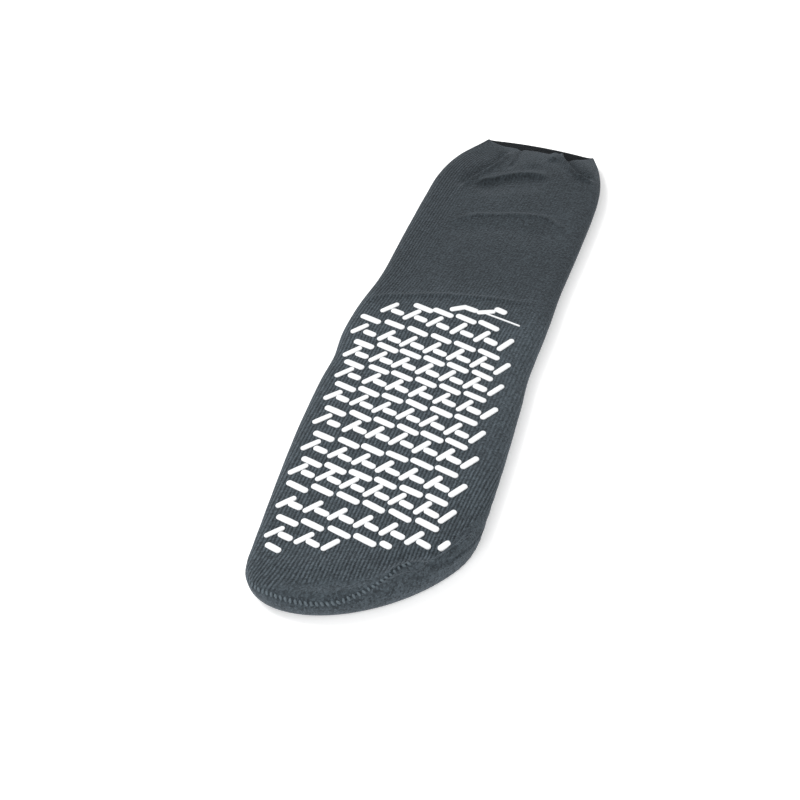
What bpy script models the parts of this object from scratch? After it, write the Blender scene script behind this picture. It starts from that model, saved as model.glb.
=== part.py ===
"""Slipper sock: a knitted tube with a closed toe, laid flat with its sole up,
and the rows of rubber grip strips printed on that sole."""
import math

import bmesh
import bpy
from mathutils import Vector

# Sock, in metres
FOOT_LENGTH = 0.204         # toe rim to the heel crease
LEG_LENGTH = 0.149          # heel crease to the edge of the cuff
FOOT_WIDTH = 0.104          # laid flat, across the ball
LEG_WIDTH = 0.097           # laid flat, below the cuff
CUFF_WIDTH = 0.064          # laid flat, across the gathered mouth
INSTEP_HEIGHT = 0.0138      # floor to the top of the laid foot
LEG_HEIGHT = 0.0132         # floor to the top of the laid leg
CUFF_HEIGHT = 0.0120        # floor to the top of the gathered mouth
FOLD_HEIGHT = 0.0065        # floor to the line of the side folds
FOLD_DEPTH = 0.0070         # how far in from the edge a fold rounds off
WALL = 0.0018               # terry knit, one layer
CROWN = 0.0016              # rise of the middle over the shoulders of the folds
TOE_DEPTH = 0.040           # how far the rounded toe stands ahead of its corners
TOE_SLANT = 0.034           # how much further back the right corner lies
MOUTH_SLANT = 0.0060        # how much further back the mouth's right half lies
MOUTH_RECESS = 0.0060       # the sole side ends short of the instep side here

# Grip print
STRIP_HEIGHT = 0.0009
STRIP_WIDTH = 0.0034
STRIP_TIP = 0.0009          # length of the pointed end of a strip
STRIP_PITCH = 0.1231 * FOOT_WIDTH    # from one strip to the next along a row
LINE_STRIP = 1.14 * STRIP_PITCH      # a strip of the long lines, ends run together
SLANT_STRIP = 0.83 * STRIP_PITCH     # a rising strip of a zigzag
LINK_STRIP = 0.86 * STRIP_PITCH      # a falling strip, from one rising strip to the next
LINE_ANGLE = math.radians(-23)
SLANT_ANGLE = math.radians(48)
LINK_REACH = 0.47 * STRIP_PITCH      # from a rising strip's middle across to its link's
LINK_DROP = 0.225 * STRIP_PITCH      # and down to it
FIRST_STEP = 0.13 * STRIP_PITCH      # a zigzag's first step is this much longer
PRINT_GAP = 0.0003          # clearance between the rubber and the knit

# How finely the knit is faceted
EDGE_STEPS = 4              # facets round a side fold
PANEL_STEPS = 12            # facets across, between the folds
TOE_STEPS = 6               # rings between the toe's rounding and the ball
LENGTH_STEPS = 16           # rings from the ball to the mouth

LENGTH = FOOT_LENGTH + LEG_LENGTH
HALF = FOOT_WIDTH / 2
LEG = LEG_WIDTH / FOOT_WIDTH
MOUTH = CUFF_WIDTH / FOOT_WIDTH
BALL = 0.48 * FOOT_LENGTH   # where the toe's bowed rings have become straight
MOUTH_START = FOOT_LENGTH + 0.6 * LEG_LENGTH    # where the mouth's slant starts
MOUTH_SHIFT = 0.33          # the mouth's middle line, a share of half the foot's width
SEARCH_STEPS = 30           # halvings that find a place in plan on the knit

# Columns: share of the foot's length, middle line's shift and half width as
# shares of half the foot's width, height as a share of the instep's.
FOOT_SECTIONS = (
    ("toe corners", 0.206, 0.010, 0.968, 0.94),
    ("ball", 0.480, -0.008, 0.998, 1.00),
    ("arch", 0.700, -0.004, 0.985, 1.00),
    ("waist", 0.790, 0.006, 0.962, 0.99),
    ("heel bulge", 0.880, 0.008, 0.978, 1.03),
    ("heel", 0.980, 0.040, 0.970, 1.04),
)

# Columns: share of the leg's length, shift as above, half width as a share
# of half the leg's width, height as a share of the leg's.
LEG_SECTIONS = (
    ("ankle", 0.16, 0.100, 0.995, 1.02),
    ("shin", 0.38, 0.150, 0.995, 1.00),
    ("calf", 0.64, 0.205, 0.985, 1.00),
    ("shoulder", 0.78, 0.225, 0.950, 0.99),
    ("gather", 0.90, 0.260, 0.840, 0.94),
)

# Columns: start of the row's long line across and along, its fall for each
# strip, its first strip and the one it stops before, then the same for its
# zigzag. Across is a share of half the foot's width, along a share of the
# foot's length, the fall a share of the pitch.
GRIP_ROWS = (
    (-0.769, 0.999, 0.23, 2, 6, -0.646, 1.031, 0.24, 3, 6),
    (-0.694, 0.913, 0.28, 0, 6, -0.798, 0.953, 0.26, 1, 7),
    (-0.662, 0.821, 0.24, 0, 6, -0.767, 0.874, 0.262, 0, 7),
    (-0.667, 0.744, 0.24, 0, 6, -0.754, 0.790, 0.24, 0, 7),
    (-0.673, 0.664, 0.24, 0, 6, -0.756, 0.712, 0.24, 0, 7),
    (-0.677, 0.577, 0.23, 0, 6, -0.762, 0.632, 0.24, 0, 7),
    (-0.683, 0.491, 0.23, 0, 6, -0.779, 0.547, 0.24, 0, 7),
    (-0.700, 0.403, 0.23, 0, 6, -0.773, 0.459, 0.24, 0, 7),
    (-0.731, 0.322, 0.22, 0, 6, -0.804, 0.373, 0.24, 0, 7),
    (-0.700, 0.217, 0.18, 0, 5, -0.794, 0.270, 0.20, 0, 7),
    (-0.706, 0.132, 0.12, 0, 1, -0.787, 0.178, 0.14, 0, 3),
)

SOCK_GREY = (0.060, 0.072, 0.082, 1.0)
GRIP_WHITE = (0.86, 0.87, 0.88, 1.0)


def section_stations():
    """Every section as (place along, middle line, half width, height)."""
    rows = []
    for name, along, shift, width, height in FOOT_SECTIONS:
        rows.append((along * FOOT_LENGTH, shift * HALF, width * HALF, height * INSTEP_HEIGHT))
    for name, along, shift, width, height in LEG_SECTIONS:
        place = FOOT_LENGTH + along * LEG_LENGTH
        rows.append((place, shift * HALF, width * HALF * LEG, height * LEG_HEIGHT))
    rows.append((LENGTH, MOUTH_SHIFT * HALF, HALF * MOUTH, CUFF_HEIGHT))
    return rows


STATIONS = section_stations()


def read_station(along):
    """Middle line, half width and height at a place along the sock."""
    last = len(STATIONS) - 1
    along = min(max(along, STATIONS[0][0]), STATIONS[last][0])
    i = 0
    while i < last - 1 and along > STATIONS[i + 1][0]:
        i += 1
    before = STATIONS[max(i - 1, 0)]
    here = STATIONS[i]
    there = STATIONS[i + 1]
    after = STATIONS[min(i + 2, last)]
    span = there[0] - here[0]
    u = (along - here[0]) / span
    values = []
    for k in (1, 2, 3):
        slope_in = (there[k] - before[k]) / (there[0] - before[0]) * span
        slope_out = (after[k] - here[k]) / (after[0] - here[0]) * span
        start = (2 * u**3 - 3 * u**2 + 1) * here[k] + (u**3 - 2 * u**2 + u) * slope_in
        end = (3 * u**2 - 2 * u**3) * there[k] + (u**3 - u**2) * slope_out
        values.append(start + end)
    return values


def toe_share(along):
    """1 at the toe's rim, 0 from the ball on."""
    return min(max((BALL - along) / (BALL - STATIONS[0][0]), 0.0), 1.0)


def mouth_share(along):
    """0 up to the calf, 1 at the mouth."""
    u = min(max((along - MOUTH_START) / (LENGTH - MOUTH_START), 0.0), 1.0)
    return u * u


def length_at(along, across, sole_side):
    """Where a ring lies along the sock: the toe's rings bow, the mouth's slant."""
    toe = toe_share(along)
    bow = math.sqrt(max(1 - across * across, 0.0))
    place = along + toe * (TOE_SLANT / 2 * across - TOE_DEPTH * bow)
    mouth = mouth_share(along)
    place -= mouth * MOUTH_SLANT * across
    if sole_side:
        place -= mouth * MOUTH_RECESS * (1 - across**4)
    return place


def fold_round(distance, depth):
    """0 on the edge, 1 once the fold has rounded off."""
    q = min(max(distance / depth, 0.0), 1.0)
    return math.sqrt(1 - (1 - q) ** 2)


def surface_point(along, across, sole_side, inset):
    """A point of the knit: across runs -1 to 1, inset is 0 outside, WALL inside."""
    middle, half, height = read_station(along)
    half -= inset
    from_rim = (1 - toe_share(along)) * (BALL - STATIONS[0][0] + TOE_DEPTH)
    depth = FOLD_DEPTH - inset
    rounding = fold_round(half * (1 - abs(across)), depth) * fold_round(from_rim - inset, depth)
    if sole_side:
        shoulder = height - FOLD_HEIGHT - CROWN - inset
        rise = CROWN * (1 - across * across) * rounding
        z = FOLD_HEIGHT + shoulder * rounding + rise
    else:
        z = FOLD_HEIGHT - (FOLD_HEIGHT - inset) * rounding
    return Vector((middle + half * across, length_at(along, across, sole_side), z))


def ring_places(inset):
    """Places of the rings along the sock, closer together round the toe's rim."""
    start = STATIONS[0][0]
    reach = BALL - start + TOE_DEPTH
    depth = FOLD_DEPTH - inset
    places = []
    for k in range(EDGE_STEPS + 1):
        angle = math.pi / 2 * k / EDGE_STEPS
        from_rim = inset + depth * (1 - math.cos(angle))
        places.append(start + from_rim / reach * (BALL - start))
    first = places[-1]
    for k in range(1, TOE_STEPS + 1):
        places.append(first + (BALL - first) * k / TOE_STEPS)
    for k in range(1, LENGTH_STEPS + 1):
        places.append(BALL + (LENGTH - BALL) * k / LENGTH_STEPS)
    return places


def column_shares(along, inset):
    """Shares across one panel, closer together round the side folds."""
    half = read_station(along)[1] - inset
    depth = FOLD_DEPTH - inset
    edge = []
    for k in range(EDGE_STEPS + 1):
        angle = math.pi / 2 * k / EDGE_STEPS
        edge.append(1 - depth * (1 - math.cos(angle)) / half)
    inner = edge[-1]
    shares = [-c for c in edge]
    for k in range(1, PANEL_STEPS):
        shares.append(-inner + 2 * inner * k / PANEL_STEPS)
    shares.extend(reversed(edge))
    return shares


def ring_points(along, inset):
    """One closed ring: across the sole side, and back across the instep side."""
    shares = column_shares(along, inset)
    points = [surface_point(along, c, True, inset) for c in shares]
    points.extend(surface_point(along, c, False, inset) for c in reversed(shares[1:-1]))
    return points


def build_knit_body():
    """The whole knitted tube: up its outside, over the mouth and down inside."""
    rings = [ring_points(place, 0.0) for place in ring_places(0.0)]
    rings.extend(ring_points(place, WALL) for place in reversed(ring_places(WALL)))
    bm = bmesh.new()
    loops = [[bm.verts.new(point) for point in ring] for ring in rings]
    for lower, upper in zip(loops, loops[1:]):
        count = len(lower)
        for k in range(count):
            bm.faces.new((lower[k], lower[(k + 1) % count], upper[(k + 1) % count], upper[k]))
    bmesh.ops.remove_doubles(bm, verts=bm.verts, dist=1e-6)
    bmesh.ops.dissolve_degenerate(bm, edges=bm.edges, dist=1e-7)
    bmesh.ops.recalc_face_normals(bm, faces=bm.faces)
    return bm


def sole_point(x, y, lift):
    """The point on the sole side over a place in plan, raised by lift."""
    low = STATIONS[0][0]
    high = LENGTH
    for step in range(SEARCH_STEPS):
        along = (low + high) / 2
        middle, half, height = read_station(along)
        across = min(max((x - middle) / half, -1.0), 1.0)
        if length_at(along, across, True) < y:
            low = along
        else:
            high = along
    middle, half, height = read_station(along)
    across = (x - middle) / half
    return Vector((x, y, surface_point(along, across, True, 0.0).z + lift))


def add_strip(bm, x, y, length, angle):
    """A flat strip with blunt pointed ends, as a prism standing on z = 0."""
    end = length / 2
    neck = end - STRIP_TIP
    side = STRIP_WIDTH / 2
    outline = ((end, 0), (neck, side), (-neck, side), (-end, 0), (-neck, -side), (neck, -side))
    turn_x = math.cos(angle)
    turn_y = math.sin(angle)
    base = []
    for u, v in outline:
        base.append(bm.verts.new((x + u * turn_x - v * turn_y, y + u * turn_y + v * turn_x, 0.0)))
    face = bm.faces.new(base)
    grown = bmesh.ops.extrude_face_region(bm, geom=[face])
    top = [item for item in grown["geom"] if isinstance(item, bmesh.types.BMVert)]
    bmesh.ops.translate(bm, verts=top, vec=(0.0, 0.0, STRIP_HEIGHT))


def strips_mesh(name, strips):
    """One mesh of separate strips, from (x, y, length, angle) for each."""
    bm = bmesh.new()
    for x, y, length, angle in strips:
        add_strip(bm, x, y, length, angle)
    bmesh.ops.recalc_face_normals(bm, faces=bm.faces)
    mesh = bpy.data.meshes.new(name)
    bm.to_mesh(mesh)
    bm.free()
    return mesh


def join_strips(name, first, second):
    """Join two sets of strips into one body, still flat."""
    keeper = bpy.data.objects.new(name, strips_mesh(name, first))
    cutter = bpy.data.objects.new(name + "_cutter", strips_mesh(name + "_cutter", second))
    for item in (keeper, cutter):
        bpy.context.scene.collection.objects.link(item)
    union = keeper.modifiers.new("join", "BOOLEAN")
    union.operation = "UNION"
    union.object = cutter
    graph = bpy.context.evaluated_depsgraph_get()
    joined = bpy.data.meshes.new_from_object(keeper.evaluated_get(graph))
    for item in (keeper, cutter):
        bpy.data.objects.remove(item)
    return joined


def lay_on_sole(mesh):
    """Bend a flat row over the knit, with the print's clearance under it."""
    bm = bmesh.new()
    bm.from_mesh(mesh)
    bmesh.ops.remove_doubles(bm, verts=bm.verts, dist=1e-5)
    for vert in bm.verts:
        vert.co = sole_point(vert.co.x, vert.co.y, PRINT_GAP + vert.co.z)
    bmesh.ops.triangulate(bm, faces=bm.faces)
    return bm


def line_strips(row):
    """The strips of a long line, which run nearly end to end."""
    across, along, fall, first, stop = row[:5]
    strips = []
    for k in range(first, stop):
        x = across * HALF + k * STRIP_PITCH
        strips.append((x, along * FOOT_LENGTH - k * fall * STRIP_PITCH, LINE_STRIP, LINE_ANGLE))
    return strips[0::2], strips[1::2]


def zigzag_strips(row):
    """The rising strips of a zigzag, and the falling ones that link them."""
    across, along, fall, first, stop = row[5:]
    rising = []
    falling = []
    for k in range(first, stop):
        x = across * HALF + k * STRIP_PITCH + (FIRST_STEP if k else 0.0)
        y = along * FOOT_LENGTH - k * fall * STRIP_PITCH
        rising.append((x, y, SLANT_STRIP, SLANT_ANGLE))
        if k + 1 < stop:
            stretch = 0.0 if k else FIRST_STEP
            reach = LINK_REACH + stretch / 2
            falling.append((x + reach, y - LINK_DROP, LINK_STRIP + stretch, LINE_ANGLE))
    return rising, falling


def finish_material(name, colour, roughness):
    material = bpy.data.materials.new(name)
    material.use_nodes = True
    shader = material.node_tree.nodes["Principled BSDF"]
    shader.inputs["Base Color"].default_value = colour
    shader.inputs["Roughness"].default_value = roughness
    shader.inputs["Metallic"].default_value = 0.0
    return material


def add_part(name, bm, material, parent):
    mesh = bpy.data.meshes.new(name)
    bm.to_mesh(mesh)
    bm.free()
    mesh.materials.append(material)
    mesh.shade_smooth()
    mesh.set_sharp_from_angle(angle=math.radians(40))
    part = bpy.data.objects.new(name, mesh)
    parent.users_collection[0].objects.link(part)
    part.parent = parent
    return part


def main():
    for item in list(bpy.data.objects):
        bpy.data.objects.remove(item)
    collection = bpy.data.collections.new("slipper sock")
    bpy.context.scene.collection.children.link(collection)
    frame = bpy.data.objects.new("slipper_sock_frame", None)
    collection.objects.link(frame)

    knit = finish_material("terry knit", SOCK_GREY, 0.95)
    rubber = finish_material("printed rubber", GRIP_WHITE, 0.6)
    body = add_part("knit_body", build_knit_body(), knit, frame)
    for number, row in enumerate(GRIP_ROWS):
        for kind, strips in (("line", line_strips(row)), ("zigzag", zigzag_strips(row))):
            name = "grip_%s_%02d" % (kind, number)
            add_part(name, lay_on_sole(join_strips(name, *strips)), rubber, frame)

    # The frame's origin is under the middle of the laid sock
    corners = [Vector(corner) for corner in body.bound_box]
    low = Vector([min(corner[k] for corner in corners) for k in range(3)])
    high = Vector([max(corner[k] for corner in corners) for k in range(3)])
    frame.location = (-(low.x + high.x) / 2, -(low.y + high.y) / 2, 0.0)


main()
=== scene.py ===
"""Looks of a slipper sock: a ribbed terry knit tube laid flat with its sole up,
and the near-white rubber strips printed on the sole."""
import math

import bpy
import numpy as np
from mathutils import Matrix, Vector


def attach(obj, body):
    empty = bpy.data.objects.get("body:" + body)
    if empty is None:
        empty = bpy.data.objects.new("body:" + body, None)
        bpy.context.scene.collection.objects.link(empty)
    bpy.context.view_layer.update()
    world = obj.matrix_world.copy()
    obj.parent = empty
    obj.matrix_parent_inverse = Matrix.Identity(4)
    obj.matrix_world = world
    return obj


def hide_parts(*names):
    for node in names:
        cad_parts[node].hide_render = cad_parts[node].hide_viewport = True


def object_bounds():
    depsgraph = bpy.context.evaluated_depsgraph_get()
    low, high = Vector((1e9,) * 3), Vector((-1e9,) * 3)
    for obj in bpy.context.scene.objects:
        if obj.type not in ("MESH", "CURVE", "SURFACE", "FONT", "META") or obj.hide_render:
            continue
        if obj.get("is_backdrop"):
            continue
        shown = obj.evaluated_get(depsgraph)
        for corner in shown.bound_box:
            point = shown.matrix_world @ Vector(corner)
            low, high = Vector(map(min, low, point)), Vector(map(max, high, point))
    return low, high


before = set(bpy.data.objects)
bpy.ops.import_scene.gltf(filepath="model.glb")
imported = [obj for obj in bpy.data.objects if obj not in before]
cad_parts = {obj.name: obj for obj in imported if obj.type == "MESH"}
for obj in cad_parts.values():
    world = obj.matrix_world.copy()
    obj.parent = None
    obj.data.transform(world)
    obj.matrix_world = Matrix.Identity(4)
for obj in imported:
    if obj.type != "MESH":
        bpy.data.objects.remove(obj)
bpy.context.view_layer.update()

MM = 0.001

# The sock's driving sizes, in metres, from the toe's rim to the mouth
FOOT_LENGTH = 0.204
LEG_LENGTH = 0.149
FOOT_WIDTH = 0.104
LEG_WIDTH = 0.097
CUFF_WIDTH = 0.064
INSTEP_HEIGHT = 0.0138      # heights of the laid tube
LEG_HEIGHT = 0.0132
CUFF_HEIGHT = 0.0120
FOLD_HEIGHT = 0.0065        # height of the side folds' edge over the floor
FOLD_DEPTH = 0.0070         # how far in from that edge a fold has rounded off
WALL = 0.0018
CROWN = 0.0016              # how much higher the sole side is along its middle
TOE_DEPTH = 0.040           # how far the toe's rim bows out
TOE_SLANT = 0.034           # how much further back its right end lies than its left
MOUTH_SLANT = 0.0060        # how far the mouth leans back on the right
MOUTH_RECESS = 0.0060       # how far its sole side lies back behind the instep side
MOUTH_SHIFT = 0.33          # the mouth's middle, as a share of half the foot's width
LENGTH = FOOT_LENGTH + LEG_LENGTH
HALF = FOOT_WIDTH / 2
LEG = LEG_WIDTH / FOOT_WIDTH
MOUTH = CUFF_WIDTH / FOOT_WIDTH
BALL = 0.48 * FOOT_LENGTH
MOUTH_START = FOOT_LENGTH + 0.6 * LEG_LENGTH

# Columns: share of the foot's length, middle line's shift and half width as
# shares of half the foot's width, height as a share of the instep's.
FOOT_SECTIONS = (
    ("toe corners", 0.206, 0.010, 0.968, 0.94),
    ("ball", 0.480, -0.008, 0.998, 1.00),
    ("arch", 0.700, -0.004, 0.985, 1.00),
    ("waist", 0.790, 0.006, 0.962, 0.99),
    ("heel bulge", 0.880, 0.008, 0.978, 1.03),
    ("heel", 0.980, 0.040, 0.970, 1.04),
)

# Columns: share of the leg's length, shift as above, half width as a share
# of half the leg's width, height as a share of the leg's.
LEG_SECTIONS = (
    ("ankle", 0.16, 0.100, 0.995, 1.02),
    ("shin", 0.38, 0.150, 0.995, 1.00),
    ("calf", 0.64, 0.205, 0.985, 1.00),
    ("shoulder", 0.78, 0.225, 0.950, 0.99),
    ("gather", 0.90, 0.260, 0.840, 0.94),
)

# The knit. 1.82 mm a rib, measured over the ball.
RIBS = 60                   # on the sole side, and as many on the instep side
RIB_FACETS = 3              # columns of faces to a rib
FOOT_TWIST = 0.085          # how far the tube's ribs turn to the right along it
LEG_TWIST = 0.075
# The ribs' fan at the toe: its middle and width as shares across, how far it moves
# them, over which arc it dies out, and where it starts
TOE_FAN = (-0.60, 0.22, 0.14, 0.035, 0.002)
FOLD_ARC = 0.0096           # length of knit in the rounding of one fold
LIP_ROWS = 4                # rows over the mouth's rounded edge
INNER_ROWS = 40             # rows of the inner face, closer at the mouth and the toe
RIB_DEPTH = 0.00026         # from the crest of a rib to the groove beside it
SOLE_DROOP = 0.0030         # how far the sole side sinks at the mouth
INSTEP_LIFT = 0.0045        # and how far the instep side rises to meet it
DROOP_REACH = 0.030         # over this length
INSTEP_BULGE = 0.0022       # how far the instep side stands out at the mouth's middle
LIP = 0.0010                # how far the mouth's rounded edge stands out
RIB_FADE = (0.185, 0.235, 0.28)     # arcs between which the ribs sink, and what is left
RIB_FOLD = (0.45, 0.25)     # share left of the middle where the leg's ribs return, and how soon
# Where the ribs are fainter beside the print, shallower and with less painted shade
# in their grooves: share across and arc, each with how soon it starts, and by how much
RIB_FAINT_BESIDE_PRINT = (0.50, 0.25, 0.075, 0.03, 0.5)
COURSE = 0.0013             # one row of stitches along the sock
RIB_PITCH = FOOT_WIDTH * 1.05 / RIBS

# Rows of faces, closer together where the knit folds. Columns: place, how many
# rows come before it, arc from the toe's rim.
ROWS = (
    ("toe rim", 0, 0.000),
    ("toe corners", 66, 0.055),
    ("before the heel", 110, 0.195),
    ("after the heel", 128, 0.214),
    ("before the leg crease", 143, 0.267),
    ("after the leg crease", 161, 0.286),
    ("gather", 168, 0.300),
    ("mouth", 222, 0.3536),
)

# Toe seam. Columns: share across the sole side, arc from the toe's rim.
SEAM = (
    (-1.00, 0.0024),
    (-0.89, 0.0030),
    (-0.75, 0.0040),
    (-0.57, 0.0048),
    (-0.29, 0.0039),
    (-0.05, 0.0038),
    (0.07, 0.0052),
    (0.21, 0.0075),
    (0.32, 0.0115),
    (0.42, 0.0158),
    (0.55, 0.0138),
    (0.62, 0.0090),
    (0.76, 0.0060),
    (1.00, 0.0024),
)

RIB_END_BLUR = 0.0008       # how softly the ribs end before the seam
SEAM_BLUR = 0.00035         # and how softly the knit's tone changes at the seam

# Where the ribs give way to smooth knit before the seam, in the same columns.
RIB_END = (
    (-1.00, 0.0024),
    (-0.80, 0.0040),
    (-0.69, 0.0050),
    (-0.60, 0.0068),
    (-0.48, 0.0116),
    (-0.34, 0.0138),
    (-0.10, 0.0148),
    (0.15, 0.0140),
    (0.34, 0.0155),
    (0.42, 0.0165),
    (0.54, 0.0165),
    (0.61, 0.0150),
    (0.70, 0.0180),
    (0.80, 0.0260),
    (0.90, 0.0340),
    (1.00, 0.0380),
)

STITCH_PITCH = 0.0024
STITCH_ENDS = (-0.86, 0.50)     # share across of the first and last stitch that shows
STITCH = (0.0026, 0.0013)       # length across the seam and thickness
STITCH_RISE = -0.00025          # the stitches' middles lie just below the knit's face
STITCH_LEAN = 0.5               # radians off square to the seam
STITCH_JITTER = 0.00006
STITCH_JITTER_TURN = 0.2
STITCH_FOLLOW = 0.8             # share of the folds' rise that reaches the seam
SEAM_DEPTH = 0.0010             # the seam's groove
SEAM_WIDTH = 0.0010
# Bulge of the knit between the seam and the rim: rise, then place and width in seam widths
SEAM_ROLL = (0.0005, 2.2, 1.6)
PINCH = (-0.87, 0.08, 0.0022, 0.0008, 0.0009)   # share, width, arc, width and rise
INSTEP_SEAM = 0.006         # arc from the rim where the ribs start on the instep side

# Folds of the limp knit on the sole side, set against the photo.
# Columns: name, rise, half width, how far the far side drops, and the line's
# points, all in millimetres from the toe frame: across, and along from the toe.
FOLDS = (
    ("heel crease", 0.85, 1.5, 0.0, ((-48, 199), (-37, 205.4), (-21, 207.5), (-5, 209.6), (10, 210.1),
                                     (26, 210.1), (46, 209))),
    ("leg crease", 0.75, 1.6, 0.0, ((-17, 272), (-13, 275), (-3, 279.7), (10, 281), (21, 282.4),
                                    (35, 281.8), (44, 275.5), (52, 270))),
    ("toe ridge", 1.8, 1.8, 1.0, ((50.5, 58), (49, 51), (46.6, 46), (42.1, 39.8), (37.5, 32.4),
                                  (33.1, 28), (29.4, 28.4), (22.7, 25.8), (18.4, 21.8), (15, 15))),
    ("lower ridge", 1.2, 1.1, 0.8, ((35, 29), (30.4, 24.2), (26.2, 22.8), (22.1, 19.8), (18, 14))),
    ("corner hollow", -1.1, 3.2, 0.0, ((11, 22), (18, 28.5), (26, 33.5), (33, 35.5), (38, 41), (41, 48))),
    ("toe corner dip", -0.7, 3.0, 0.0, ((12, 17), (0, 12), (-12, 9), (-26, 8))),
    ("print edge swell", 0.5, 4.0, 0.0, ((-44, 20), (-30, 18), (-10, 22), (10, 27))),
)

# Thin ridges parallel to the edge at the toe's right corner: rise, pitch, how far
# in they reach, and the edge's points in millimetres.
RIPPLES = (0.00032, 0.0021, 0.0105,
           ((30, 19), (35.5, 24.5), (41, 31.5), (45, 38), (48.4, 45.5), (50.3, 53), (51, 62), (51.5, 76)))

# Puckers of the gathered mouth, in the columns of FOLDS. They bend the whole wall.
PUCKERS = (
    ("left fold", 1.4, 2.2, 2.2, ((-18, 303), (-13.4, 311), (-10, 316), (-4.8, 323.5), (-0.7, 331),
                                  (3.1, 346))),
    ("pleat", -1.2, 1.4, 0.0, ((7, 354), (7.7, 337), (7, 329), (5, 323))),
    ("bump", 2.0, 2.6, 0.0, ((28, 358), (28, 343), (28.5, 334))),
    ("right ridge", 2.3, 1.8, 3.0, ((31, 354), (33, 341), (37, 334), (42, 326), (47, 321), (56, 318))),
    ("middle swell", 0.8, 6.0, 0.0, ((16, 358), (18, 336), (20, 324))),
    ("light band", 1.0, 3.4, 1.7, ((32, 317), (22, 319.5), (15, 319), (8, 317), (1, 314), (-6, 311),
                                   (-13, 307))),
    ("hollow", -0.7, 6.0, 0.0, ((-12, 303), (0, 305), (12, 307), (22, 309), (33, 312))),
    ("shin dip", -0.7, 7.0, 0.0, ((-20, 262), (0, 268), (24, 270), (46, 260))),
)

# How far the sole side's edge is drawn back from the mouth, towards the toe.
# Columns: share across, distance.
MOUTH_EDGE = (
    (-1.00, 0.0),
    (-0.62, 0.0008),
    (-0.42, 0.0004),
    (-0.21, 0.0008),
    (0.00, 0.0012),
    (0.13, 0.0008),
    (0.30, 0.0004),
    (0.45, 0.0004),
    (0.63, 0.0008),
    (0.78, 0.0012),
    (1.00, 0.0),
)
MOUTH_EDGE_REACH = 0.040

# Grip print. Angles in degrees, sizes in metres as (length, width).
LINE_ANGLE = -23
SLANT_ANGLE = 48
SHORT_SHIFT = (-0.0014, -0.0012)    # short strips against the middle between two rising ones
STRIP_HEIGHT = 0.0008
STRIP_SINK = 0.00020        # how far the rubber has soaked into the ribs
LONG_STRIP = (0.0126, 0.0034)
SLANT_STRIP = (0.0106, 0.0031)
SHORT_STRIP = (0.0078, 0.0034)
STRIP_CORNERS = 20          # points round a strip's outline
STRIP_ROUNDING = 0.00035
# Ends of the print. Columns: a point of its end line, the line's turn, and the
# side that it ends: -1 the toe's, 1 the heel's.
PRINT_ENDS = (
    (0.0, 0.0316, 11.0, -1),
    (0.0, 0.2024, 4.0, 1),
)

# Each printed row stands for one CAD node. Columns: node, middles of its first,
# second and last main strip as (across, along) in millimetres from the toe
# frame, and how many there are. Between the second and the last they are even.
PRINT_ROWS = (
    ("grip_line_00", (-11.2, 197.4), (-0.3, 194.9), (24.9, 188.8), 4),
    ("grip_line_01", (-36.1, 186.4), (-22.6, 183.4), (29.4, 168.2), 6),
    ("grip_line_02", (-34.4, 167.5), (-22.0, 165.9), (29.5, 152.8), 6),
    ("grip_line_03", (-35.2, 152.2), (-21.8, 149.6), (29.3, 137.0), 6),
    ("grip_line_04", (-35.0, 135.5), (-22.4, 133.0), (28.9, 120.7), 6),
    ("grip_line_05", (-35.2, 117.7), (-21.7, 115.5), (28.5, 103.7), 6),
    ("grip_line_06", (-35.8, 100.2), (-22.3, 96.9), (28.1, 85.4), 6),
    ("grip_line_07", (-36.4, 82.2), (-23.8, 79.6), (27.7, 67.5), 6),
    ("grip_line_08", (-38.4, 66.0), (-26.0, 65.3), (27.1, 51.5), 6),
    ("grip_line_09", (-36.7, 44.6), (-24.0, 43.2), (15.0, 35.2), 5),
    ("grip_line_10", (-36.5, 26.9), (-24.0, 25.0), (-24.0, 25.0), 1),
    ("grip_zigzag_01", (-28.6, 196.4), (-15.7, 191.9), (36.2, 176.3), 6),
    ("grip_zigzag_02", (-39.8, 179.1), (-24.7, 174.8), (38.0, 159.0), 7),
    ("grip_zigzag_03", (-39.0, 161.8), (-24.9, 159.0), (38.1, 143.4), 7),
    ("grip_zigzag_04", (-38.7, 146.0), (-23.9, 142.7), (38.7, 127.0), 7),
    ("grip_zigzag_05", (-39.6, 128.9), (-25.8, 126.4), (36.8, 110.3), 7),
    ("grip_zigzag_06", (-39.8, 111.7), (-24.1, 108.5), (37.1, 93.2), 7),
    ("grip_zigzag_07", (-40.2, 93.7), (-26.0, 89.9), (35.8, 74.9), 7),
    ("grip_zigzag_08", (-41.7, 77.0), (-27.4, 74.6), (35.0, 58.2), 7),
    ("grip_zigzag_09", (-41.2, 56.0), (-27.3, 54.2), (36.2, 40.2), 7),
    ("grip_zigzag_10", (-40.6, 37.2), (-25.8, 35.0), (-13.0, 32.3), 3),
)

# The torn-looking end of the print at the heel. Columns: across and along in
# millimetres, length, width and angle of each strip.
HEEL_END_ROW = (
    (7.0, 199.9, 9.8, 3.2, 22),
    (13.2, 199.9, 8.2, 3.0, -20),
    (21.0, 198.7, 9.6, 2.8, 14),
    (28.4, 200.9, 7.4, 3.4, -24),
    (30.6, 194.7, 20.0, 1.0, -20),
)

STRIP_JITTER = 0.00012      # how unevenly the strips lie, and in degrees
STRIP_JITTER_TURN = 1.0
STRIP_SWELL = (0.02, 0.04)  # how unevenly long and wide they are, as shares
SLANT_TURN = 9.0            # the rising strips stand steeper to the right
SEARCH_STEPS = 30           # halvings of the search for a place along the sock

# Materials: real sizes of the patterns and sRGB colours
LOOP_SIZE = 0.0009          # a terry loop
FIBRE_SIZE = 0.0006
PATCH_SIZE = 0.018
RUBBER_GRAIN = 0.0012
# Painted shade: the ribs' grooves are coloured darker than their crests, for the shade that falls in them
GROOVE_SHADE_COLOUR = "#252c2f"
CREST_COLOUR = "#474f55"
CAP_COLOUR = "#3d4449"
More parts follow.
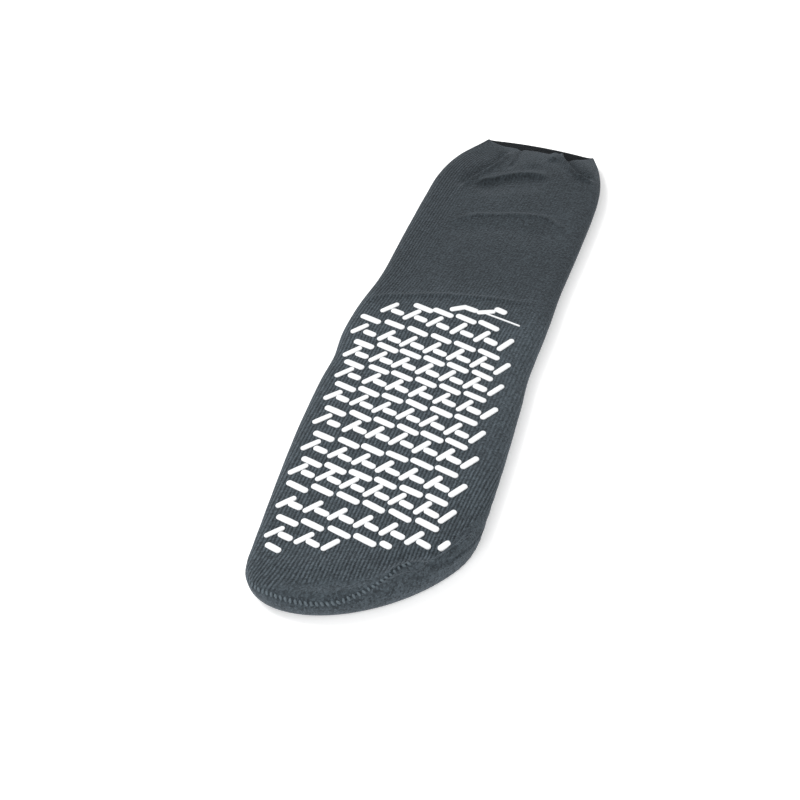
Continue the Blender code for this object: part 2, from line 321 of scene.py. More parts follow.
# Where the knit darkens towards the leg, as painted shade for the light falling off there, and again in the
# gathered cuff, and the shares
LEG_SHADE_TONE = (0.000, 0.050, 0.60)
CUFF_TONE = (0.100, 0.138, 0.86)
# Painted shade: share of the knit's colour left on its inner face, seen inside the mouth, and on the instep
# side's lip
INNER_SHADE_TONE = 0.12

# Studio
FLOOR_SIZE = 12.0
FLOOR_DROP = -0.0003
WORLD_STRENGTH = 0.50
FLOOR_GLOW = 0.30
# Columns: name, place, size across, power
LIGHTS = (
    ("left key", (-0.95, 0.35, 1.25), 1.0, 19.0),
    ("front fill", (-0.25, -1.35, 1.0), 1.0, 10.0),
    ("right fill", (1.15, -0.45, 0.75), 0.8, 5.0),
)

# Camera, from the toe's rim: the photo's angle and its slight roll
CAMERA_PLACE = (0.21544, -0.47512, 0.59343)
CAMERA_TURN = 20.1
CAMERA_FALL = 42.0
CAMERA_ROLL = 8.0
CAMERA_LENS = 81.0

# One seeded source, so that the unevenness is the same in each run
random = np.random.default_rng(5)

# The part's origin, under the middle of the sock, seen from the toe frame. It is
# set at the end, once the outline is known.
ORIGIN = np.array([0.0, 0.0, 0.0])


def section_stations():
    """Every section as (place along, middle line, half width, height)."""
    rows = []
    for _, along, shift, width, height in FOOT_SECTIONS:
        rows.append((along * FOOT_LENGTH, shift * HALF, width * HALF, height * INSTEP_HEIGHT))
    for _, along, shift, width, height in LEG_SECTIONS:
        place = FOOT_LENGTH + along * LEG_LENGTH
        rows.append((place, shift * HALF, width * HALF * LEG, height * LEG_HEIGHT))
    rows.append((LENGTH, MOUTH_SHIFT * HALF, HALF * MOUTH, CUFF_HEIGHT))
    return np.array(rows)


STATIONS = section_stations()
START = STATIONS[0, 0]
TOE_REACH = BALL - START + TOE_DEPTH


def read_station(along):
    """Middle line, half width and height at places along the sock."""
    last = len(STATIONS) - 1
    along = np.clip(along, START, STATIONS[last, 0])
    i = np.clip(np.searchsorted(STATIONS[:, 0], along, side="left") - 1, 0, last - 1)
    before = STATIONS[np.maximum(i - 1, 0)]
    here = STATIONS[i]
    there = STATIONS[i + 1]
    after = STATIONS[np.minimum(i + 2, last)]
    span = there[..., 0] - here[..., 0]
    u = (along - here[..., 0]) / span
    values = []
    for k in (1, 2, 3):
        slope_in = (there[..., k] - before[..., k]) / (there[..., 0] - before[..., 0]) * span
        slope_out = (after[..., k] - here[..., k]) / (after[..., 0] - here[..., 0]) * span
        start = (2 * u**3 - 3 * u**2 + 1) * here[..., k] + (u**3 - 2 * u**2 + u) * slope_in
        end = (3 * u**2 - 2 * u**3) * there[..., k] + (u**3 - u**2) * slope_out
        values.append(start + end)
    return values


def toe_share(along):
    """1 at the toe's rim, 0 from the ball on."""
    return np.clip((BALL - along) / (BALL - START), 0.0, 1.0)


def mouth_share(along):
    """0 up to the calf, 1 at the mouth."""
    return np.clip((along - MOUTH_START) / (LENGTH - MOUTH_START), 0.0, 1.0) ** 2


def length_at(along, across, sole_side):
    """Where a ring lies along the sock: the toe's rings bow, the mouth's slant."""
    bow = np.sqrt(np.maximum(1 - across**2, 0.0))
    place = along + toe_share(along) * (TOE_SLANT / 2 * across - TOE_DEPTH * bow)
    mouth = mouth_share(along)
    return place - mouth * MOUTH_SLANT * across - sole_side * mouth * MOUTH_RECESS * (1 - across**4)


def fold_round(distance, depth):
    """0 on the edge, 1 once the fold has rounded off."""
    q = np.clip(distance / depth, 0.0, 1.0)
    return np.sqrt(1 - (1 - q) ** 2)


def surface(along, across, sole_side, inset):
    """Points of the knit: across runs -1 to 1, inset is 0 outside, WALL inside."""
    middle, half, height = read_station(along)
    half = half - inset
    from_rim = (1 - toe_share(along)) * TOE_REACH
    depth = FOLD_DEPTH - inset
    rounding = fold_round(half * (1 - np.abs(across)), depth) * fold_round(from_rim - inset, depth)
    top = FOLD_HEIGHT + (height - FOLD_HEIGHT - CROWN - inset) * rounding
    shut = np.clip(1 - (LENGTH - along) / DROOP_REACH, 0, 1) ** 2
    top = top + (CROWN * (1 - across**2) - SOLE_DROOP * shut) * rounding
    bottom = FOLD_HEIGHT - (FOLD_HEIGHT - inset - INSTEP_LIFT * shut) * rounding
    z = np.where(sole_side > 0.5, top, bottom)
    return np.stack([middle + half * across, length_at(along, across, sole_side), z], axis=-1)


def rib_share(arc, along):
    """Share across one side for a share of that side's knit, folds included."""
    half = read_station(along)[1]
    side = 2 * FOLD_ARC + 2 * (half - FOLD_DEPTH)
    from_edge = (1 - np.abs(arc)) * side / 2
    rounded = FOLD_DEPTH * (1 - np.cos(np.clip(from_edge / FOLD_ARC, 0, 1) * math.pi / 2))
    inward = np.where(from_edge < FOLD_ARC, rounded, FOLD_DEPTH + from_edge - FOLD_ARC)
    return np.sign(arc) * (1 - inward / half)


def along_from_arc(arc):
    """Place along the sock for an arc of knit measured from the toe's rim."""
    rounded = FOLD_DEPTH * (1 - np.cos(np.clip(arc / FOLD_ARC, 0, 1) * math.pi / 2))
    from_rim = np.where(arc < FOLD_ARC, rounded, FOLD_DEPTH + arc - FOLD_ARC)
    on_toe = START + from_rim / TOE_REACH * (BALL - START)
    return np.where(from_rim < TOE_REACH, on_toe, BALL + from_rim - TOE_REACH)


FULL_ARC = FOLD_ARC + TOE_REACH - FOLD_DEPTH + LENGTH - BALL


def smooth_line(points, steps=12):
    """A smooth line through a few points, as an array."""
    points = np.array(points, float)
    padded = np.vstack([2 * points[0] - points[1], points, 2 * points[-1] - points[-2]])
    line = []
    for k in range(len(points) - 1):
        a, b, c, d = padded[k:k + 4]
        for step in range(steps):
            t = step / steps
            line.append(0.5 * (2 * b + (c - a) * t + (2 * a - 5 * b + 4 * c - d) * t**2
                               + (3 * b - a - 3 * c + d) * t**3))
    line.append(points[-1])
    return np.array(line)


def near_line(x, y, line):
    """Distance to a line, which side of it, and how far along it, 0 to 1."""
    best = np.full(x.shape, 1e9)
    side = np.zeros(x.shape)
    share = np.zeros(x.shape)
    lengths = np.linalg.norm(np.diff(line, axis=0), axis=1)
    total = lengths.sum()
    gone = 0.0
    for k, length in enumerate(lengths):
        a = line[k]
        d = (line[k + 1] - a) / length
        t = np.clip((x - a[0]) * d[0] + (y - a[1]) * d[1], 0, length)
        away_x = x - a[0] - t * d[0]
        away_y = y - a[1] - t * d[1]
        away = np.hypot(away_x, away_y)
        closer = away < best
        best = np.where(closer, away, best)
        side = np.where(closer, np.sign(d[0] * away_y - d[1] * away_x), side)
        share = np.where(closer, (gone + t) / total, share)
        gone += length
    return best, side, share


def relief_of(folds, x, y):
    """Rise that a table of folds adds, at places in plan."""
    rise = np.zeros(np.shape(x))
    for _, height, width, drop, points in folds:
        away, side, share = near_line(x, y, smooth_line(points) * MM)
        # Each end fades out over a fifth of the line
        fade = np.clip(np.minimum(share, 1 - share) * 5, 0, 1)
        fade = fade * fade * (3 - 2 * fade)
        away = away / (width * MM)
        rise += height * MM * fade * np.exp(-away**2)
        if drop:
            beside = np.where(side > 0, away * np.exp(1 - away), 0.0)
            rise -= drop * MM * fade * beside
    return rise


def fold_relief(x, y):
    """Rise of the sole side's folds over the plain tube."""
    return relief_of(FOLDS, x, y) + edge_ripples(x, y)


def edge_ripples(x, y):
    """Thin ridges beside the toe's right corner, where the ribs turn along its edge."""
    # They fade over a quarter of the line at each end, and inwards from the edge
    rise, pitch, reach, points = RIPPLES
    away, _, share = near_line(x, y, smooth_line(points) * MM)
    fade = np.clip(np.minimum(share, 1 - share) * 4, 0, 1) * np.clip(1.6 * (1 - away / reach), 0, 1)
    return rise * fade * np.cos(2 * math.pi * away / pitch)


def mouth_relief(x, y):
    """Rise of the puckers that the elastic makes below the mouth."""
    return relief_of(PUCKERS, x, y)


def read_table(table, share):
    """Value from a table of shares and values, on a smooth line through them."""
    line = smooth_line(table, 8)
    return np.interp(share, line[:, 0], line[:, 1])


def tube_twist(arc):
    """How many ribs the tube has turned by, at an arc from the toe's rim."""
    on_foot = np.clip(arc, 0, FOOT_LENGTH)
    turned = FOOT_TWIST * on_foot + LEG_TWIST * np.maximum(arc - FOOT_LENGTH, 0)
    return turned / RIB_PITCH


def toe_fan(share, arc):
    """Near the toe the ribs lean out to the left, to meet the seam squarely."""
    middle, width, shift, reach, start = TOE_FAN
    near = np.clip(1 - arc / reach, 0, 1) ** 2 * np.clip(arc / start, 0, 1)
    return -shift * near * np.exp(-((share - middle) / width) ** 2)


def linear(hex_colour):
    """A linear colour with full alpha from an sRGB hex value."""
    channels = [int(hex_colour[k:k + 2], 16) / 255 for k in (1, 3, 5)]
    return [c / 12.92 if c <= 0.04045 else ((c + 0.055) / 1.055) ** 2.4 for c in channels] + [1.0]


def add_node(material, kind, settings=None, links=None, **sockets):
    """A node with its settings, its sockets' values and what feeds them."""
    node = material.node_tree.nodes.new(kind)
    for name, value in (settings or {}).items():
        setattr(node, name, value)
    for name, value in sockets.items():
        node.inputs[name.replace("_", " ")].default_value = value
    for name, source in (links or {}).items():
        material.node_tree.links.new(source, node.inputs[name])
    return node


def product(material, one, two):
    """The output of a node that multiplies two values."""
    node = add_node(material, "ShaderNodeMath", {"operation": "MULTIPLY"}, {0: one, 1: two})
    return node.outputs["Value"]


def map_range(material, source, kind="LINEAR", **sockets):
    """The output of a node that maps a value from one range to another."""
    node = add_node(material, "ShaderNodeMapRange", {"interpolation_type": kind}, {"Value": source}, **sockets)
    return node.outputs["Result"]


def new_material(name):
    """A material with only its Principled shader and output left."""
    material = bpy.data.materials.new(name)
    material.use_nodes = True
    return material, material.node_tree.nodes["Principled BSDF"]


def feed(material, source, socket):
    """Link an output socket to an input socket."""
    material.node_tree.links.new(source, socket)


def deselect_all():
    """Leave no object selected."""
    for item in bpy.context.selected_objects:
        item.select_set(False)


def only(item):
    """Make one object the selected and active one."""
    deselect_all()
    item.select_set(True)
    bpy.context.view_layer.objects.active = item


def edit(item, *steps):
    """Run edit-mode operators on everything in one mesh."""
    only(item)
    bpy.ops.object.mode_set(mode="EDIT")
    bpy.ops.mesh.select_all(action="SELECT")
    for step, options in steps:
        step(**options)
    bpy.ops.object.mode_set(mode="OBJECT")


def rib_show(share, arc):
    """How plainly the ribs stand out: most on the foot and the leg's left fold."""
    start, end, left_over = RIB_FADE
    leg = np.clip((arc - start) / (end - start), 0, 1)
    place, width = RIB_FOLD
    fold = np.clip((-share - place) / width, 0, 1)
    place, width, from_arc, soon, loss = RIB_FAINT_BESIDE_PRINT
    faint_beside_print = np.clip((share - place) / width, 0, 1) * np.clip((arc - from_arc) / soon, 0, 1)
    return (1 - leg * (1 - left_over) * (1 - fold)) * (1 - loss * faint_beside_print)


def tube_place(number, arc):
    """Share of its side's knit, and side, of a rib at an arc from the toe's rim."""
    # Half a facet over, so that each side fold runs between two columns
    turned = np.mod(number + tube_twist(arc) + 0.5 / RIB_FACETS, 2 * RIBS)
    sole = (turned > RIBS / 2) & (turned < RIBS * 1.5)
    on_sole = (turned - RIBS) / (RIBS / 2)
    on_instep = np.where(turned < RIBS, -turned, 2 * RIBS - turned) / (RIBS / 2)
    return np.where(sole, on_sole, on_instep), sole.astype(float)


def outer_arcs():
    """Arcs of the outer rows, from the toe's rim to the mouth."""
    counts = [row[1] for row in ROWS]
    arcs = [row[2] for row in ROWS[:-1]] + [FULL_ARC]
    return np.interp(np.arange(counts[-1] + 1), counts, arcs)


def knit_rows():
    """For each row of the grid: place along, arc from the rim, inset, lip share."""
    rows = [(along_from_arc(arc), arc, 0.0, 0.0) for arc in outer_arcs()]
    for k in range(1, LIP_ROWS + 1):
        rows.append((LENGTH, FULL_ARC, WALL * k / (LIP_ROWS + 1), math.sin(math.pi * k / (LIP_ROWS + 1))))
    reach = TOE_REACH + LENGTH - BALL - WALL
    for k in range(INNER_ROWS + 1):
        from_rim = WALL + reach * (0.5 + 0.5 * math.cos(math.pi * k / INNER_ROWS))
        on_toe = START + from_rim / TOE_REACH * (BALL - START)
        along = on_toe if from_rim < TOE_REACH else BALL + from_rim - TOE_REACH
        rows.append((along, FULL_ARC * (from_rim - WALL) / reach, WALL, 0.0))
    return np.array(rows, float)


def knit_points():
    """The tube's points row by row, with rib numbers, arcs and the masks."""
    rows = knit_rows()
    row_count = len(rows)
    number = np.arange(2 * RIBS * RIB_FACETS + 1) / RIB_FACETS
    number = np.repeat(number[None, :], row_count, axis=0)
    along, arc, inset, lip = [np.repeat(rows[:, k:k + 1], number.shape[1], axis=1) for k in range(4)]
    share, sole = tube_place(number, arc)
    share = share + sole * toe_fan(share, arc)
    across = np.clip(rib_share(share, along), -1, 1)
    points = surface(along, across, sole, inset)
    points[..., 1] += LIP * lip
    reach = np.clip(1 - (LENGTH - along) / MOUTH_EDGE_REACH, 0, 1) ** 2
    points[..., 1] -= sole * reach * read_table(MOUTH_EDGE, share)
    points[..., 1] += (1 - sole) * reach * INSTEP_BULGE * (1 - across**2)

    # Big puckers move both faces of the wall, and fade out on the side folds
    level = fold_round(read_station(along)[1] * (1 - np.abs(across)), FOLD_DEPTH)
    level = level * fold_round((1 - toe_share(along)) * TOE_REACH, FOLD_DEPTH)
    on_sole = sole * level**2
    points[..., 2] += on_sole * mouth_relief(points[..., 0], points[..., 1])

    outside = (inset < WALL / 10).astype(float)
    points[..., 2] += outside * on_sole * fold_relief(points[..., 0], points[..., 1])

    # Ribs and the toe's seam move the outer face along its normal
    closed = np.concatenate([points[:, -2:-1], points, points[:, 1:2]], axis=1)
    round_the_tube = closed[:, 2:] - closed[:, :-2]
    down_the_tube = np.gradient(points, axis=0)
    normal = np.cross(round_the_tube, down_the_tube)
    normal /= np.maximum(np.linalg.norm(normal, axis=-1, keepdims=True), 1e-12)
    from_seam = arc - read_table(SEAM, share)
    plain = np.where(sole > 0.5, read_table(RIB_END, share), INSTEP_SEAM)
    smooth = 1 / (1 + np.exp(np.clip((arc - plain) / RIB_END_BLUR, -40, 40)))
    cap = 1 / (1 + np.exp(np.clip(from_seam / SEAM_BLUR, -40, 40)))
    cap = np.where(sole > 0.5, cap, smooth)
    crest = 0.5 + 0.5 * np.cos(2 * math.pi * number)
    show = rib_show(share, arc) * (1 - smooth)
    push = RIB_DEPTH * (crest - 1) * show
    push -= SEAM_DEPTH * np.exp(-(from_seam / SEAM_WIDTH) ** 2) * sole
    rise, place, width = SEAM_ROLL
    push += rise * np.exp(-((from_seam + place * SEAM_WIDTH) / (width * SEAM_WIDTH)) ** 2) * sole
    middle, width, place, reach, rise = PINCH
    push += sole * rise * np.exp(-((share - middle) / width) ** 2 - ((arc - place) / reach) ** 2)
    push *= outside * fold_round((1 - toe_share(along)) * TOE_REACH, FOLD_DEPTH)
    points += normal * push[..., None]
    # Painted shade: the inner face and the instep side's rounded lip are marked, to be darkened as the shade
    # inside the mouth
    shade = np.where((inset > 0) & ((sole < 0.5) | (inset >= WALL)), 1.0, 0.0)
    return points, number, arc, {"toe_cap": cap * outside, "rib_show": show, "inner_face_shade": shade}


def make_knit():
    """The whole sock in one piece, folded up from a flat grid."""
    points, number, arc, masks = knit_points()
    row_count, column_count = points.shape[:2]
    bpy.ops.mesh.primitive_grid_add(x_subdivisions=column_count - 1, y_subdivisions=row_count - 1, size=2)
    knit = bpy.context.object
    knit.name = "sock_knit"
    mesh = knit.data
    flat = np.zeros(len(mesh.vertices) * 3)
    mesh.vertices.foreach_get("co", flat)
    flat = flat.reshape(-1, 3)
    column = np.rint((flat[:, 0] + 1) / 2 * (column_count - 1)).astype(int)
    row = np.rint((flat[:, 1] + 1) / 2 * (row_count - 1)).astype(int)
    mesh.vertices.foreach_set("co", (points[row, column] - ORIGIN).ravel())
    for name, values in masks.items():
        mesh.attributes.new(name, "FLOAT", "POINT").data.foreach_set("value", values[row, column])
    corner = np.zeros(len(mesh.loops), int)
    mesh.loops.foreach_get("vertex_index", corner)
    uv = np.stack([number[row, column], arc[row, column] / COURSE], axis=1)[corner]
    mesh.uv_layers[0].data.foreach_set("uv", uv.ravel())
    mesh.update()
    edit(knit, (bpy.ops.mesh.remove_doubles, {"threshold": 1e-6}),
         (bpy.ops.mesh.dissolve_degenerate, {"threshold": 1e-6}))
    only(knit)
    bpy.ops.object.shade_smooth()
    return knit


def sole_height(x, y):
    """Height of the sole side over places in plan."""
    low = np.full(np.shape(x), START)
    high = np.full(np.shape(x), LENGTH)
    for _ in range(SEARCH_STEPS):
        along = (low + high) / 2
        middle, half, _ = read_station(along)
        across = np.clip((x - middle) / half, -1, 1)
        short = length_at(along, across, 1.0) < y
        low = np.where(short, along, low)
        high = np.where(short, high, along)
    middle, half, _ = read_station(along)
    across = np.clip((x - middle) / half, -1, 1)
    z = surface(along, across, np.ones(np.shape(x)), 0.0)[..., 2]
    return z + fold_relief(x, y) + mouth_relief(x, y)


def strip_master(size):
    """One strip at the origin: a flat bar with round ends and a soft top edge."""
    length, width = size
    deselect_all()
    bpy.ops.mesh.primitive_cylinder_add(vertices=STRIP_CORNERS, radius=width / 2, depth=STRIP_HEIGHT,
                                        location=(0, 0, 0))
    strip = bpy.context.object
    # Each half of the cylinder moves outwards, which leaves a bar with round ends
    bpy.ops.object.mode_set(mode="EDIT")
    for side in (-1, 1):
        bpy.ops.mesh.select_all(action="DESELECT")
        bpy.ops.object.mode_set(mode="OBJECT")
        for vert in strip.data.vertices:
            vert.select = vert.co.x * side > width / 20
        bpy.ops.object.mode_set(mode="EDIT")
        bpy.ops.transform.translate(value=(side * (length - width) / 2, 0, 0))
    bpy.ops.mesh.select_all(action="SELECT")
    bpy.ops.transform.translate(value=(0, 0, STRIP_HEIGHT / 2))
    bpy.ops.object.mode_set(mode="OBJECT")
    bevel = strip.modifiers.new("soft top edge", "BEVEL")
    bevel.width = STRIP_ROUNDING
    bevel.segments = 2
    bevel.limit_method = "ANGLE"
    bevel.angle_limit = math.radians(60)
    only(strip)
    bpy.ops.object.modifier_apply(modifier=bevel.name)
    return strip


def place_strip(master, x, y, angle):
    """A copy of a strip, turned, slightly uneven, and bent over the sole."""
    strip = bpy.data.objects.new(master.name, master.data.copy())
    bpy.context.scene.collection.objects.link(strip)
    angle = math.radians(angle + random.normal(0, STRIP_JITTER_TURN))
    longer, wider = [1 + random.normal(0, spread) for spread in STRIP_SWELL]
    swell = Matrix.Diagonal((longer, wider, 1, 1))
    strip.data.transform(Matrix.Rotation(angle, 4, "Z") @ swell)
    places = np.array([vert.co[:] for vert in strip.data.vertices])
    middle = (x + random.normal(0, STRIP_JITTER), y + random.normal(0, STRIP_JITTER))
    places[:, :2] += middle
    stop_at_print_end(places, middle, np.array((math.cos(angle), math.sin(angle))))
    places[:, 2] += sole_height(places[:, 0], places[:, 1]) - STRIP_SINK
    strip.data.vertices.foreach_set("co", places.ravel())
    return strip


def stop_at_print_end(places, middle, axis):
    """Shorten a strip that would pass an end of the print: its round end stops there."""
    for across, along, turn, side in PRINT_ENDS:
        turn = math.radians(turn)
        out = np.array((-math.sin(turn) * side, math.cos(turn) * side))
        ahead = axis * np.sign(axis @ out)
        forth = (places[:, :2] - middle) @ ahead
        # Only the middle third gives, so that both round ends keep their shape
        share = np.clip(0.5 + 1.5 * forth / forth.max(), 0, 1)
        past = ((places[:, :2] - (across, along)) @ out).max()
        if past > 0:
            room = forth[share == 1].min() - forth[share == 0].max()
            places[:, :2] -= np.outer(share, ahead) * min(past / (ahead @ out), room)


def join_row(name, strips):
    """Join a row's strips into one piece in the part's own frame."""
    deselect_all()
    for strip in strips:
        strip.select_set(True)
    bpy.context.view_layer.objects.active = strips[0]
    bpy.ops.object.join()
    row = bpy.context.object
    row.name = name
    row.data.transform(Matrix.Translation(-Vector(ORIGIN)))
    only(row)
    bpy.ops.object.shade_smooth_by_angle(angle=math.radians(50))
    return row


def main_places(first, second, last, count):
    """Middles of a row's main strips, in metres from the toe frame."""
    places = [first]
    for k in range(1, count):
        share = (k - 1) / max(count - 2, 1)
        places.append([a + (b - a) * share for a, b in zip(second, last)])
    return [(x * MM, y * MM) for x, y in places]


def make_grips(rubber):
    """Every row of printed strips, each standing for its CAD node."""
    masters = {size: strip_master(size) for size in (LONG_STRIP, SLANT_STRIP, SHORT_STRIP)}
    for node, first, second, last, count in PRINT_ROWS:
        strips = []
        places = main_places(first, second, last, count)
        for k, (x, y) in enumerate(places):
            if "line" in node:
                strips.append(place_strip(masters[LONG_STRIP], x, y, LINE_ANGLE))
                continue
            angle = SLANT_ANGLE + x / HALF * SLANT_TURN
            strips.append(place_strip(masters[SLANT_STRIP], x, y, angle))
            if k + 1 < count:
                middle = (x + places[k + 1][0]) / 2 + SHORT_SHIFT[0]
                drop = (y + places[k + 1][1]) / 2 + SHORT_SHIFT[1]
                strips.append(place_strip(masters[SHORT_STRIP], middle, drop, LINE_ANGLE))
        finish_row(node, strips, rubber)
    strips = []
    for x, y, length, width, angle in HEEL_END_ROW:
        single = strip_master((length * MM, width * MM))
        strips.append(place_strip(single, x * MM, y * MM, angle))
        bpy.data.meshes.remove(single.data)
    finish_row("grip_zigzag_00", strips, rubber)
    for master in masters.values():
        bpy.data.meshes.remove(master.data)


def finish_row(node, strips, rubber):
    """Join a printed row, give it its material and tie it to its CAD node."""
    row = join_row("rubber_" + node, strips)
    row.data.materials.clear()
    row.data.materials.append(rubber)
    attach(row, "root")
    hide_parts(node)


def sole_point(share, arc):
    """Place and normal of the knit's outer face, at a share and arc of the sole side."""
    # Two more points close by give the directions across and along
    shares = share + np.array([0, 0.002, 0])
    arcs = arc + np.array([0, 0, 0.0002])
    along = along_from_arc(arcs)
    points = surface(along, rib_share(shares, along), np.ones(3), 0.0)
    points[:, 2] += fold_relief(points[:, 0], points[:, 1]) * STITCH_FOLLOW
    across = points[1] - points[0]
    up_sole = points[2] - points[0]
    normal = np.cross(across, up_sole)
    return points[0], across / np.linalg.norm(across), normal / np.linalg.norm(normal)


def seam_shares():
    """Shares across at which the stitches sit, evenly along the seam."""
    samples = 400
    shares = np.linspace(STITCH_ENDS[0], STITCH_ENDS[1], samples)
    arcs = read_table(SEAM, shares)
    along = along_from_arc(arcs)
    places = surface(along, rib_share(shares, along), np.ones(samples), 0.0)
    gone = np.concatenate([[0], np.cumsum(np.linalg.norm(np.diff(places, axis=0), axis=1))])
    return np.interp(np.arange(0, gone[-1], STITCH_PITCH), gone, shares)


def make_stitches():
    """The linked stitches that close the toe, one soft bar modelled and copied."""
    length, thickness = STITCH
    deselect_all()
    bpy.ops.mesh.primitive_uv_sphere_add(segments=8, ring_count=6, radius=0.5)
    master = bpy.context.object
    bpy.ops.transform.resize(value=(thickness * 1.1, length, thickness))
    bpy.ops.object.transform_apply(location=True, rotation=True, scale=True)
    stitches = []
    for share in seam_shares():
        place, across, normal = sole_point(share, read_table(SEAM, share))
        turn = random.normal(0, STITCH_JITTER_TURN) + STITCH_LEAN
        lengthwise = np.cross(normal, across)
        sideways = across * math.cos(turn) + lengthwise * math.sin(turn)
        lengthwise = np.cross(normal, sideways)
        place = place + normal * (STITCH_RISE + random.normal(0, STITCH_JITTER)) - ORIGIN
        stitch = bpy.data.objects.new("stitch", master.data.copy())
        bpy.context.scene.collection.objects.link(stitch)
        axes = Matrix([list(axis) for axis in (sideways, lengthwise, normal)]).transposed().to_4x4()
        stitch.data.transform(Matrix.Translation(Vector(place)) @ axes)
        stitches.append(stitch)
    bpy.data.meshes.remove(master.data)
    deselect_all()
    for stitch in stitches:
        stitch.select_set(True)
    bpy.context.view_layer.objects.active = stitches[0]
    bpy.ops.object.join()
    seam = bpy.context.object
    seam.name = "toe_seam_stitches"
    bpy.ops.object.shade_smooth()
    return seam


def knit_material():
    """Dark slate cotton terry, knitted in ribs on a tube machine: matt, with a
    short fuzz that pales it at a glancing look. The grooves between the ribs are
    darkened as painted shade."""
    material, shader = new_material("ribbed slate terry knit")
    uv = add_node(material, "ShaderNodeUVMap")
    split = add_node(material, "ShaderNodeSeparateXYZ", links={"Vector": uv.outputs["UV"]})
    cap, show, inner = [add_node(material, "ShaderNodeAttribute", {"attribute_name": name})
                        for name in ("toe_cap", "rib_show", "inner_face_shade")]
    place = add_node(material, "ShaderNodeTexCoord")

    turns = add_node(material, "ShaderNodeMath", {"operation": "MULTIPLY"}, {0: split.outputs["X"]})
    turns.inputs[1].default_value = 2 * math.pi
    wave = add_node(material, "ShaderNodeMath", {"operation": "COSINE"}, {0: turns.outputs["Value"]})
    # Painted shade: round each rib the colour runs from the grooves' shade to the crests, as far as the ribs
    # show
    crest = map_range(material, wave.outputs["Value"], From_Min=-1.0)
    ribs = product(material, crest, show.outputs["Fac"])
    plain = map_range(material, show.outputs["Fac"], To_Min=0.55, To_Max=0.0)
    tone = add_node(material, "ShaderNodeMath", {"operation": "ADD"}, {0: ribs, 1: plain})
    groove = add_node(material, "ShaderNodeMix", {"data_type": "RGBA"}, {"Factor": tone.outputs["Value"]})
    groove.inputs["A"].default_value = linear(GROOVE_SHADE_COLOUR)
    groove.inputs["B"].default_value = linear(CREST_COLOUR)
    capped = add_node(material, "ShaderNodeMix", {"data_type": "RGBA"},
                      {"Factor": cap.outputs["Fac"], "A": groove.outputs["Result"]})
    capped.inputs["B"].default_value = linear(CAP_COLOUR)

    loops = add_node(material, "ShaderNodeTexVoronoi", {"feature": "F1"}, {"Vector": place.outputs["Object"]},
                     Scale=1 / LOOP_SIZE)
    fibres = add_node(material, "ShaderNodeTexNoise", {}, {"Vector": place.outputs["Object"]},
                      Scale=1 / FIBRE_SIZE, Detail=3.0, Roughness=0.7)
    patches = add_node(material, "ShaderNodeTexNoise", {}, {"Vector": place.outputs["Object"]},
                       Scale=1 / PATCH_SIZE, Detail=2.0)
    speckle = map_range(material, fibres.outputs["Fac"], From_Min=0.3, From_Max=0.7, To_Min=0.72, To_Max=1.28)
    grain = map_range(material, loops.outputs["Color"], From_Min=0.15, From_Max=0.85, To_Min=0.60, To_Max=1.40)
    cloud = map_range(material, patches.outputs["Fac"], From_Min=0.3, From_Max=0.7, To_Min=0.93, To_Max=1.07)

    along = add_node(material, "ShaderNodeSeparateXYZ", {}, {"Vector": place.outputs["Object"]}).outputs["Y"]
    # Painted shade: darker towards the leg, where the light falls off; the cuff darkens again beyond it
    leg = map_range(material, along, "SMOOTHSTEP", From_Min=LEG_SHADE_TONE[0], From_Max=LEG_SHADE_TONE[1],
                    To_Min=1.0, To_Max=LEG_SHADE_TONE[2])
    cuff = map_range(material, along, "SMOOTHSTEP", From_Min=CUFF_TONE[0], From_Max=CUFF_TONE[1],
                     To_Min=1.0, To_Max=CUFF_TONE[2])
    # Painted shade inside the mouth: the marked faces keep only a share of the knit's colour
    inside = map_range(material, inner.outputs["Fac"], To_Min=1.0, To_Max=INNER_SHADE_TONE)
    dimmed = product(material, product(material, cloud, product(material, leg, cuff)), inside)
    shade = product(material, product(material, speckle, grain), dimmed)
    tinted = add_node(material, "ShaderNodeVectorMath", {"operation": "SCALE"},
                      {"Vector": capped.outputs["Result"], "Scale": shade})
    feed(material, tinted.outputs["Vector"], shader.inputs["Base Color"])

    rib_bump = add_node(material, "ShaderNodeBump", {}, {"Height": ribs}, Strength=0.6, Distance=RIB_DEPTH)
    loop_bump = add_node(material, "ShaderNodeBump", {}, {"Height": loops.outputs["Distance"],
                         "Normal": rib_bump.outputs["Normal"]}, Strength=0.5, Distance=LOOP_SIZE / 2)
    fibre_bump = add_node(material, "ShaderNodeBump", {}, {"Height": fibres.outputs["Fac"],
                          "Normal": loop_bump.outputs["Normal"]}, Strength=0.6, Distance=FIBRE_SIZE)
    feed(material, fibre_bump.outputs["Normal"], shader.inputs["Normal"])
    shader.inputs["Roughness"].default_value = 0.95
    shader.inputs["Specular IOR Level"].default_value = 0.15
    shader.inputs["Sheen Weight"].default_value = 0.25
    shader.inputs["Sheen Roughness"].default_value = 0.5
    shader.inputs["Sheen Tint"].default_value = linear("#c8d2dc")
    return material


def yarn_material():
    """Thick twisted cotton yarn of the toe's linked seam, paler than the knit."""
    material, shader = new_material("slate cotton linking yarn")
    place = add_node(material, "ShaderNodeTexCoord")
    fibres = add_node(material, "ShaderNodeTexNoise", {}, {"Vector": place.outputs["Object"]},
                      Scale=1 / FIBRE_SIZE, Detail=2.0)
    tone = add_node(material, "ShaderNodeMix", {"data_type": "RGBA"}, {"Factor": fibres.outputs["Fac"]})
    tone.inputs["A"].default_value = linear("#414a4f")
    tone.inputs["B"].default_value = linear("#69737a")
    feed(material, tone.outputs["Result"], shader.inputs["Base Color"])
    shader.inputs["Roughness"].default_value = 0.9
    shader.inputs["Specular IOR Level"].default_value = 0.2
    return material


